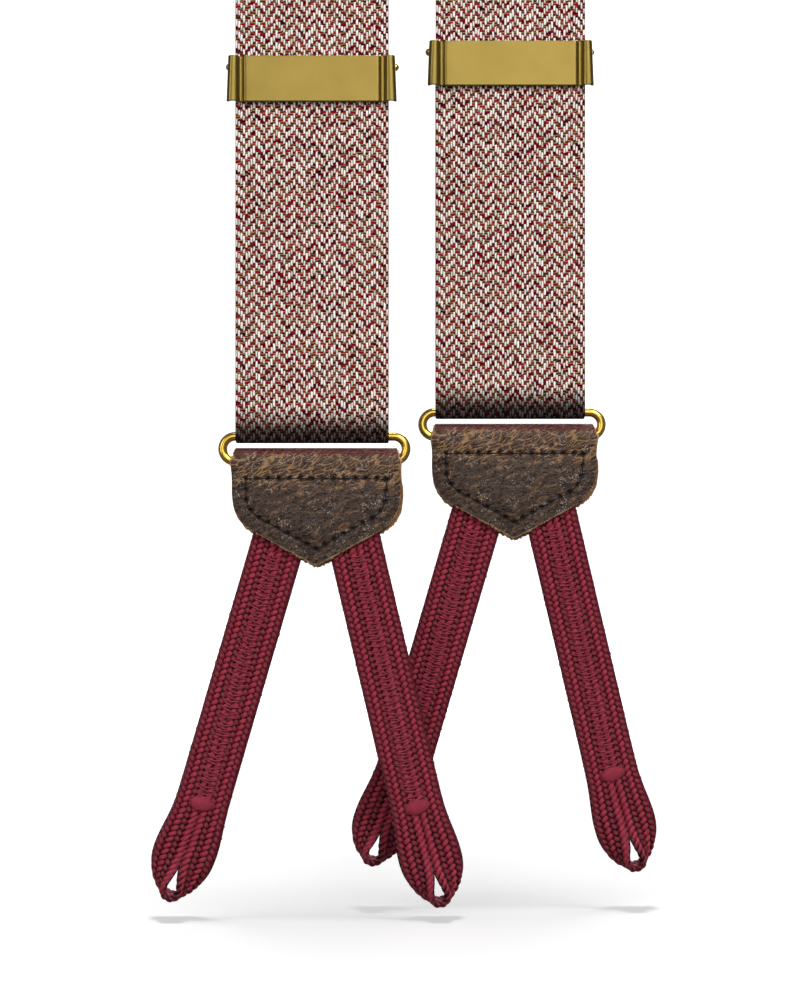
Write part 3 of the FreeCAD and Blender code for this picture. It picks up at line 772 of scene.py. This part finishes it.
def adjuster_face(side):
    """The pressed face: a flat panel, an S-bend and a rolled end at each side, and the cheeks."""
    outline = face_outline()
    x, y = outline[:, 0], outline[:, 1]
    share = np.array([0, 0.012, 0.03, 0.06, 0.1, 0.15, 0.2, 0.3, 0.4, 0.5, 0.6, 0.7, 0.8, 0.9, 0.95,
                      0.975, 0.99, 1.0])[::-1, None]
    bottom = 0.42 * np.clip(y - ROLL[1], 0, None)
    z = bottom + (FACE_HEIGHT - bottom) * share
    flare = 0.42 * (1 - z / FACE_HEIGHT) * smooth(np.abs(x), 17.9, 20.0) * np.sign(x)
    surface = np.stack([x + flare, np.broadcast_to(y, z.shape), FACE_RISE + z], -1)
    width = lengths_along(outline)
    uv = np.stack([np.broadcast_to(width, z.shape), z], -1)
    piece = slab(f"{side}_pressed_face", to_world(side, surface), FACE_SHEET * MM, uv,
                 [FACE_BRASS] * 3, 0.12 * MM, fray=0.0)
    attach(piece, f"{side}_adjuster")
    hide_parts(f"{side}_adjuster_face")


def wire_ring(end):
    """The ring of bent wire, from the middle of its lower bar and all the way round."""
    radius = BAR_PITCH / 2
    path = [(x, -BAR_PITCH) for x in np.linspace(0, RING_BEND, 12)[:-1]]
    path += [(RING_BEND + radius * math.cos(a), -radius + radius * math.sin(a))
             for a in np.radians(np.linspace(-90, 90, 29))]
    path += [(x, 0) for x in np.linspace(RING_BEND, -RING_BEND, 24)[1:-1]]
    path += [(-RING_BEND - radius * math.cos(a), -radius + radius * math.sin(a))
             for a in np.radians(np.linspace(90, -90, 29))]
    path += [(x, -BAR_PITCH) for x in np.linspace(-RING_BEND, 0, 12)[1:]]
    centres = np.array([(x, 0, z) for x, z in path])
    tangents = unit(np.gradient(centres, axis=0))
    normals = np.broadcast_to(np.array([0, -1.0, 0]), tangents.shape)
    points, quads, uv = sweep_arrays(centres, np.cross(normals, tangents), normals,
                                     oval_profile(WIRE, WIRE, 28), lengths_along(centres))
    piece = mesh_object(f"{end}_bent_wire", to_world(end, points, HANG_SHIFT / 2), quads, uv,
                        [WIRE_BRASS])
    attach(piece, f"{end}_ring")
    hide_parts(f"{end}_ring")


# ---------------------------------------------------------------- leather

def tab_lower_edge(x):
    """The height of the tab's lower edge at x: a pointed tip, and a round corner at each side."""
    reach = np.abs(x)
    shoulder_x, shoulder_z = TAB_SHOULDER
    slope = TAB_TIP_Z + (shoulder_z - TAB_TIP_Z) * reach / shoulder_x
    bend = np.clip(reach - (TAB_HALF - TAB_CORNER), 0, TAB_CORNER)
    corner = TAB_CORNER_Z - np.sqrt(TAB_CORNER ** 2 - bend ** 2)
    tip = TAB_TIP_Z + 0.274 * (1 + reach ** 2)
    return np.where(reach > shoulder_x, corner, np.where(reach < 1.0, np.maximum(slope, tip), slope))


def tab_stitch_holes():
    """The needle holes round the tab, as points (x, z): along the top, and round the lower edge."""
    x = np.linspace(-TAB_HALF, TAB_HALF, 2001)
    z = tab_lower_edge(x)
    tangent = unit(np.stack([np.gradient(x), np.gradient(z)], -1))
    inside = np.stack([x - tangent[:, 1] * STITCH_INSET, z + tangent[:, 0] * STITCH_INSET], -1)
    kept = (np.sign(inside[:, 0]) == np.sign(x)) & (np.abs(x) < TAB_HALF)
    half = TAB_HALF - STITCH_INSET
    loop = [(-half, STITCH_TOP_Z), *inside[kept], (half, STITCH_TOP_Z), (-half, STITCH_TOP_Z)]
    loop = np.array(loop)
    along = lengths_along(loop)
    at = np.linspace(0, along[-1], int(round(along[-1] / STITCH_PITCH)) + 1)
    return np.stack([np.interp(at, along, loop[:, i]) for i in (0, 1)], -1)


def tab_depth(x, z, holes):
    """Half the tab's thickness at a point of its face, and how much of a needle hole is there."""
    x, z = np.broadcast_arrays(np.asarray(x, float), np.asarray(z, float))
    low = tab_lower_edge(x)
    slope = np.abs(tab_lower_edge(x + 0.05) - tab_lower_edge(x - 0.05)) / 0.1
    from_edge = np.minimum((z - low) / np.sqrt(1 + slope ** 2), TAB_HALF - np.abs(x))
    over_leg = smooth(np.abs(x), 2, 5) * (1 - smooth(np.abs(x), 14.5, 17.5))
    at_edge = 1.5 + 1.0 * over_leg
    body = at_edge + (3.05 - at_edge) * smooth(from_edge, 0, 7.5)
    depth = TAB_RADIUS + (body - TAB_RADIUS) * smooth(-z, -TAB_FOLD_Z, 12.0)
    gap = np.sqrt((x[..., None] - holes[:, 0]) ** 2 + (z[..., None] - holes[:, 1]) ** 2).min(-1)
    line = np.exp(-(gap / 1.1) ** 2)
    hole = np.exp(-(gap / 0.6) ** 4)
    return depth - 0.2 * line - 0.55 * hole, hole


def leather_tab(end):
    """The hide folded over the ring's lower bar, pinched at its stitched edge, with both faces."""
    columns, face_rows, fold_rows = 130, 84, 16
    holes = tab_stitch_holes()
    a = np.linspace(-1, 1, columns)
    x = TAB_HALF * a
    low = tab_lower_edge(x)
    share = np.linspace(0, 1, face_rows)[1:, None]
    z = TAB_FOLD_Z + (low - TAB_FOLD_Z) * share
    wide = np.broadcast_to(x, z.shape)
    depth, hole = tab_depth(wide, z, holes)
    front = np.stack([wide, -depth, z], -1)
    hang = smooth(-z, -TAB_FOLD_Z, 14.0)
    back = np.stack([wide * (1 + 0.015 * hang) + 0.4 * hang, depth, z - 0.6 * hang], -1)[::-1]
    angle = np.linspace(0, math.pi, fold_rows)[:, None]
    squeeze = 1 - 0.045 * np.sin(angle) ** 0.7
    fold = np.stack([x * squeeze, TAB_RADIUS * np.cos(angle) + 0 * x,
                     TAB_FOLD_Z + TAB_RADIUS * np.sin(angle) + 0 * x], -1)
    surface = np.concatenate([back, fold, front])
    arc_length = TAB_RADIUS * math.pi / 2
    down = arc_length + TAB_FOLD_Z - z
    v = np.concatenate([-down[::-1],
                        np.broadcast_to((angle - math.pi / 2) * TAB_RADIUS, fold.shape[:2]), down])
    uv = np.stack([np.broadcast_to(x, v.shape), v], -1)
    surface = to_world(end, surface, HANG_SHIFT)
    needle = np.concatenate([hole[::-1], np.zeros(fold.shape[:2]), hole])
    piece = slab(f"{end}_tab_hide", surface, TAB_THICK * MM, uv, [TAB_HIDE, SUEDE, EDGE], 0.42 * MM,
                 needle)
    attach(piece, f"{end}_tab")
    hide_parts(f"{end}_tab_leather")

    runs = []
    for side in (-1, 1):
        for first, last in zip(holes[:-1], holes[1:]):
            line = []
            for t, lift in ((0.1, -0.15), (0.25, -0.05), (0.5, 0.0), (0.75, -0.05), (0.9, -0.15)):
                px, pz = first + (last - first) * t
                line.append((px, side * (float(tab_depth(px, pz, holes)[0]) + lift), pz))
            runs.append(line)
    points, quads, uv = tubes(runs, (0, 1, 0), 0.36, 0.3)
    threads = mesh_object(f"{end}_tab_stitches", to_world(end, points, HANG_SHIFT), quads, uv,
                          [TAB_THREAD])
    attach(threads, f"{end}_tab")
    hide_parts(f"{end}_tab_stitching")


def patch_surface(grow, y, top, bottom):
    """Points of one face of the Y patch, which grow makes larger all round."""
    rows, columns = 90, 90
    z = np.linspace(top + grow, bottom - grow, rows)[:, None]
    t = (top - z) / (top - bottom)
    half = PATCH_TOP_HALF + (PATCH_BOTTOM_HALF - PATCH_TOP_HALF) * t + grow
    near_end = np.clip(PATCH_CORNER - np.minimum(top + grow - z, z - bottom + grow), 0, PATCH_CORNER)
    half = half - (PATCH_CORNER - np.sqrt(PATCH_CORNER ** 2 - near_end ** 2))
    x = np.linspace(1, -1, columns) * half
    z = np.broadcast_to(z, x.shape)
    return np.stack([x, np.full(x.shape, y), z], -1), half, z


def patch_stitch_line():
    """Needle holes all round the patch, as points (x, z)."""
    inset = 3.5
    top, bottom = PATCH_TOP - inset, PATCH_BOTTOM + inset
    top_half, bottom_half = PATCH_TOP_HALF - inset - 0.5, PATCH_BOTTOM_HALF - inset - 0.5
    loop = np.array([(-top_half + 2, 0, top), (top_half - 2, 0, top), (top_half, 0, top - 2),
                     (bottom_half, 0, bottom + 2), (bottom_half - 2, 0, bottom),
                     (2 - bottom_half, 0, bottom), (-bottom_half, 0, bottom + 2),
                     (-top_half, 0, top - 2), (2 - top_half, 0, top)], float)
    along = lengths_along(loop)
    at = np.linspace(0, along[-1], int(along[-1] / STITCH_PITCH))
    return np.stack([np.interp(at, along, loop[:, i]) for i in (0, 2)], -1)


def y_patch():
    """The leather patch where both straps meet the rear elastic, its lining, and its stitches."""
    holes = patch_stitch_line()
    low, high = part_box("patch_leather")
    outside, inside = high.y / MM, low.y / MM
    surface, half, z = patch_surface(0.0, outside, PATCH_TOP, PATCH_BOTTOM)
    gap = np.sqrt((surface[..., 0, None] - holes[:, 0]) ** 2
                  + (surface[..., 2, None] - holes[:, 1]) ** 2).min(-1)
    edge = np.minimum(np.minimum(PATCH_TOP - z, z - PATCH_BOTTOM), half - np.abs(surface[..., 0]))
    pressed = 0.16 * np.exp(-(gap / 1.3) ** 2) + 0.4 * np.exp(-(gap / 0.45) ** 2)
    surface[..., 1] += 0.35 * smooth(edge, 0, 9) - 0.15 - pressed
    uv = surface[..., [0, 2]]
    leather = slab("patch_hide_outer", surface * MM, (outside - inside) * MM, uv,
                   [PATCH_HIDE, SUEDE, EDGE], 0.2 * MM, np.exp(-(gap / 0.45) ** 2))
    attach(leather, "webbing")
    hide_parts("patch_leather")

    low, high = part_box("patch_lining")
    under, _, _ = patch_surface(0.0, low.y / MM, PATCH_TOP, PATCH_BOTTOM)
    under = under[:, ::-1]
    lining = slab("patch_hide_lining", under * MM, (high.y - low.y), under[..., [0, 2]],
                  [SUEDE, SUEDE, EDGE], 0.15 * MM)
    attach(lining, "webbing")
    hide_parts("patch_lining")

    runs = []
    for depth, lift in ((outside - 0.1, 0.25), (low.y / MM, -0.25)):
        runs += stitch_row([(x, 0, z) for x, z in holes], depth, lift)
    points, quads, uv = tubes(runs, (0, 1, 0), 0.55, 0.4)
    threads = mesh_object("patch_stitches", points * MM, quads, uv, [TAB_THREAD])
    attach(threads, "webbing")
    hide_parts("patch_stitching")


# ---------------------------------------------------------------- braided legs

# The left half of the tape's middle line, as points (across the leg, down the leg).
TAPE_LINE = [(-3.25, -8), (-3.25, 20), (-3.25, 45), (-3.25, 62), (-3.4, 70), (-3.6, 74),
             (-3.8, 78), (-3.75, 82), (-3.5, 86), (-3.05, 88.4), (-2.2, 90.1), (-1.1, 91.0),
             (0, 91.15)]
TURN_STARTS, TURN_ENDS = 79.0, 91.2     # where the tape turns from flat to edge-on


def smooth_line(knots, step):
    """Points a step apart on a smooth curve through the knots."""
    knots = np.array(knots, float)
    padded = np.concatenate([[2 * knots[0] - knots[1]], knots, [2 * knots[-1] - knots[-2]]])
    t = np.linspace(0, 1, 60)[:-1, None]
    pieces = []
    for a, b, c, d in zip(padded[:-3], padded[1:-2], padded[2:-1], padded[3:]):
        pieces.append(0.5 * (2 * b + (c - a) * t + (2 * a - 5 * b + 4 * c - d) * t ** 2
                             + (3 * b - a - 3 * c + d) * t ** 3))
    line = np.concatenate(pieces + [knots[-1:]])
    along = lengths_along(line)
    at = np.linspace(0, along[-1], int(along[-1] / step) + 1)
    return np.stack([np.interp(at, along, line[:, i]) for i in range(2)], -1)


def tape_frames():
    """The tape's middle line in a leg's own space, with its width and facing directions.

    It comes down flat on the left, turns edge-on round the foot of the loop and goes up flat."""
    knots = TAPE_LINE + [(-x, d) for x, d in reversed(TAPE_LINE[:-1])]
    flat_line = smooth_line(knots, 0.3)
    tangents = unit(np.gradient(flat_line, axis=0))
    down = np.clip((flat_line[:, 1] - TURN_STARTS) / (TURN_ENDS - TURN_STARTS), 0, 1)
    turn = math.radians(90) * down ** 1.4
    zero = np.zeros(len(flat_line))
    centre = np.stack([flat_line[:, 0], zero, -flat_line[:, 1]], -1)
    tangent = np.stack([tangents[:, 0], zero, -tangents[:, 1]], -1)
    outward = np.stack([-tangents[:, 1], zero, -tangents[:, 0]], -1)
    spread = 1 + 0.2 * smooth(flat_line[:, 1], 66, 80) * (1 - smooth(flat_line[:, 1], 87, 91))
    normal = np.cos(turn)[:, None] * np.array([0, -1.0, 0]) + np.sin(turn)[:, None] * outward
    return centre, np.cross(normal, tangent) * spread[:, None], normal


def braid_arrays(seed):
    """Nine strands plaited flat: each crosses the tape and back, over one column and under one.

    A core strip between them, painted in the near-black shade colour, closes the gaps.
    The last array says how far each point's strand stands out on its own side, from -1 to 1, and
    which way the strand leans. The braid's material paints its shade and highlights from it."""
    centre, across, normal = tape_frames()
    length = 0.3 * (len(centre) - 1)
    period = STRANDS * PLAIT_RISE
    strand_profile, shaded_core_profile = oval_profile(1.3, 0.84), oval_profile(7.3, 0.6)
    reach, lift = TAPE_HALF - 0.42, 0.6
    random = np.random.default_rng(seed)
    count = int(length / 0.34)
    s = np.linspace(0, length, count)
    rows = np.linspace(0, len(centre) - 1, count)
    steps = np.arange(len(centre))
    base, side, face = (np.stack([np.interp(rows, steps, a[:, i]) for i in range(3)], -1)
                        for a in (centre, across, normal))
    parts, rise = [], []
    for strand in range(STRANDS):
        phase = (s / period + strand / STRANDS) % 1
        swing = 1 - 4 * np.abs(phase - 0.5)
        x = swing * 1.25 - 0.25 * swing ** 3
        crossing = np.cos(2 * math.pi * (x + 0.75))
        height = np.where(phase < 0.5, 1, -1) * crossing * lift
        wobble = np.interp(s, np.linspace(0, length, 90), random.normal(0, 0.05, 90))
        line = base + side * ((x * reach + wobble)[:, None]) + face * (height + wobble * 0.4)[:, None]
        tangent = unit(np.gradient(line, axis=0))
        width_way = unit(np.cross(tangent, face))
        parts.append(sweep_arrays(line, width_way, np.cross(width_way, tangent),
                                  strand_profile, lengths_along(line)))
        # For painted light: highlights where a strand stands out or turns at the tape's edge, shade where it
        # dives under or leans one way.
        upper = np.sign(strand_profile[:, 1])
        leaning = np.where(phase < 0.5, 1.0, 0.0)[:, None]
        edge = 0.65 * smooth(np.abs(x), 0.86, 0.97)[:, None]
        out = np.maximum(height[:, None] / lift * upper, edge)
        rise.append(np.stack(np.broadcast_arrays(out, leaning * (1 - edge)), -1))
    parts.append(sweep_arrays(base, side, face, shaded_core_profile, s))
    # The core is painted as full shade.
    rise.append(np.broadcast_to([-1.0, 0.0], (count * len(shaded_core_profile), 2)))
    return *joined(parts), np.concatenate([r.reshape(-1, 2) for r in rise])


def leg_points(hand, points):
    """Points in a leg's own space, as points in its end's local coordinates."""
    splay = LEG_SPLAY[hand]
    points = np.array(points, float)
    points[:, 0] += hand * LOOP_LEAN[hand] * smooth(-points[:, 2], 66, 90)
    root = np.array([hand * LEG_ROOT[0], 0, LEG_ROOT[1]])
    across = np.array([math.cos(splay), 0, hand * math.sin(splay)])
    up = np.array([-hand * math.sin(splay), 0, math.cos(splay)])
    return root + points[:, :1] * across + points[:, 1:2] * np.array([0, 1, 0]) + points[:, 2:] * up


def zigzag(face, seed):
    """The seam that joins the two tapes: an uneven zigzag of thread, on one face of the leg."""
    random = np.random.default_rng(seed)
    runs, drop, hand = [], 2.5, 1
    while drop < 64.5:
        bow, reach, dip = random.uniform(0.2, 0.8), random.uniform(2.2, 2.8), random.uniform(0.4, 0.8)
        line = []
        for t in np.linspace(-1, 1, 9):
            line.append((hand * t * reach, face * (1.12 - 0.55 * abs(t) ** 4),
                         -drop - (t + 1) * dip / 2 - bow * (1 - t * t)))
        runs.append(line)
        drop += random.uniform(0.6, 0.95)
        hand = -hand
    return runs


def bartack(face):
    """A dense oval of threads across the top of the slot, on one face of the leg."""
    runs = []
    for share in np.linspace(-0.93, 0.93, 13):
        half = 3.1 * math.sqrt(1 - share * share) + 0.15
        crown = 0.75 * math.sqrt(1 - share * share)
        line = []
        for t in np.linspace(-1, 1, 9):
            line.append((t * half, face * (0.95 + crown * (1 - t * t) - 0.3 * abs(t) ** 6),
                         -66.8 + share * 1.7 + 0.15 * t))
        runs.append(line)
    return runs


def leg(end, hand, name, seed):
    """A braided leg: one tape folded into a loop, its two halves seamed together."""
    points, quads, uv, rise = braid_arrays(seed)
    points = to_world(end, leg_points(hand, points), HANG_SHIFT)
    braid = mesh_object(f"{name}_braid", points, quads, uv, [BRAID])
    # The map from which the braid's material paints its shade and highlights.
    second_map(braid, "rise", rise)
    shoulder_x, shoulder_z = TAB_SHOULDER
    slope = math.atan2(shoulder_z - TAB_TIP_Z, shoulder_x)
    away = np.array([hand * math.sin(slope), 0, -math.cos(slope)])
    root = np.array([hand * LEG_ROOT[0], 0, LEG_ROOT[1]])
    start, finish = to_world(end, [root - away * 2.0, root + away * 2.5], HANG_SHIFT)
    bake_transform(braid, f"{end}_tab", name, start, finish)
    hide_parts(name)
    if hand < 0:
        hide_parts(f"{end}_tab_core")

    for part, runs, width, yarns in (("seam", zigzag(-1, seed) + zigzag(1, seed + 50), 0.3, SEAM_THREAD),
                                     ("bartack", bartack(-1) + bartack(1), 0.36, TACK_THREAD)):
        points, quads, uv = tubes(runs, (0, 1, 0), width, width * 0.9)
        points = to_world(end, leg_points(hand, points), HANG_SHIFT)
        thread = mesh_object(f"{name}_{part}_threads", points, quads, uv, [yarns])
        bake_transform(thread, f"{end}_tab", name, start, finish)
        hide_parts(f"{name}_{part}")


# ---------------------------------------------------------------- putting it together

FLOOR_GLOW = 0.5                # how much light the floor below the part gives by itself


def finish_metal():
    """Better brass on the CAD parts that stay."""
    for name, node in frame["nodes"].items():
        if name.endswith(("_pin", "_lever", "_bar")):
            node.data.materials.clear()
            node.data.materials.append(PIN_BRASS)


def studio_white():
    """The seamless white floor and backdrop. Only the floor below the part shows shadows."""
    finish = Finish("studio_white", Roughness=0.9, Specular_IOR_Level=0.0,
                    Base_Color=(0.9, 0.9, 0.9, 1), Emission_Color=(1, 1, 1, 1))
    x, y, _ = finish.place()
    away = (x * x + y * y).power(0.5)
    glow = away.step(180, 420) * (1.1 - FLOOR_GLOW) + FLOOR_GLOW
    finish.tree.links.new(glow.socket, finish.shader.inputs["Emission Strength"])
    return finish.material


def studio():
    """A wide white floor that curves up into a white wall all round, and soft lights.

    Only the top light falls on the floor, whose own glow keeps it white further out."""
    floor, far = -0.6762, 5.0
    profile = [(radius, floor) for radius in (0.0, 0.4, 1.0, 2.5, far - 1)]
    profile += [(far - 1 + math.sin(a), floor + 1 - math.cos(a))
                for a in np.radians(np.arange(10, 91, 10))]
    profile += [(far, 3.0)]
    around = np.radians(np.arange(0, 360, 5))
    points = np.array([(r * math.cos(a), r * math.sin(a), z) for r, z in profile for a in around])
    quads = wrapped_faces(len(profile), len(around))
    sweep = mesh_object("studio_sweep", points, quads, points[:, :2] * 1000, [studio_white()])
    sweep.visible_diffuse = sweep.visible_glossy = False
    not_lit = bpy.data.collections.new("not_lit")
    not_lit.objects.link(sweep)
    not_lit.collection_objects[0].light_linking.link_state = "EXCLUDE"

    def area(name, place, target, size, power, lights_floor=False):
        data = bpy.data.lights.new(name, "AREA")
        data.shape = "RECTANGLE"
        data.size, data.size_y = size
        data.energy = power
        light = bpy.data.objects.new(name, data)
        light.location = place
        light.rotation_euler = (Vector(target) - Vector(place)).to_track_quat("-Z", "Y").to_euler()
        if not lights_floor:
            light.light_linking.receiver_collection = not_lit
        bpy.context.scene.collection.objects.link(light)

    middle = (0, 0, -0.57)
    area("front", (0.1, -1.9, -0.1), middle, (1.3, 1.1), 12)
    area("key", (0.6, -1.0, 0.3), middle, (0.35, 0.45), 15)
    area("fill", (-0.9, -0.9, -0.3), middle, (0.4, 0.8), 4)
    area("back", (0.5, 1.7, 0.6), middle, (1.2, 1.2), 24)
    area("top", (0.0, 0.0, 1.2), (0, 0.0, -0.67), (0.3, 0.3), 19, lights_floor=True)

    world = bpy.data.worlds.new("studio")
    world.use_nodes = True
    background = world.node_tree.nodes["Background"]
    background.inputs["Color"].default_value = (1, 1, 1, 1)
    background.inputs["Strength"].default_value = 0.2
    bpy.context.scene.world = world
    bpy.context.scene.view_settings.view_transform = "Standard"


def camera():
    """A level camera in front of the two front ends, as close as the picture was taken."""
    data = bpy.data.cameras.new("camera")
    data.sensor_width = 36
    data.lens = 58.16
    view = bpy.data.objects.new("camera", data)
    view.location = (-0.0031, -0.4274, -0.57225)
    view.rotation_euler = (math.radians(90), 0, 0)
    bpy.context.scene.collection.objects.link(view)
    bpy.context.scene.camera = view


camera()
studio()
for side_name in ("left", "right"):
    front_strap(side_name)
    return_strap(side_name)
    end_stitching(side_name)
    adjuster_face(side_name)
rear_webbing()
y_patch()
for number, (end_name, leg_names) in enumerate(LEGS.items()):
    wire_ring(end_name)
    leather_tab(end_name)
    for leg_hand, leg_name in zip((-1, 1), leg_names):
        leg(end_name, leg_hand, f"{end_name}_{leg_name}_leg", 10 * number + leg_hand + 1)
finish_metal()
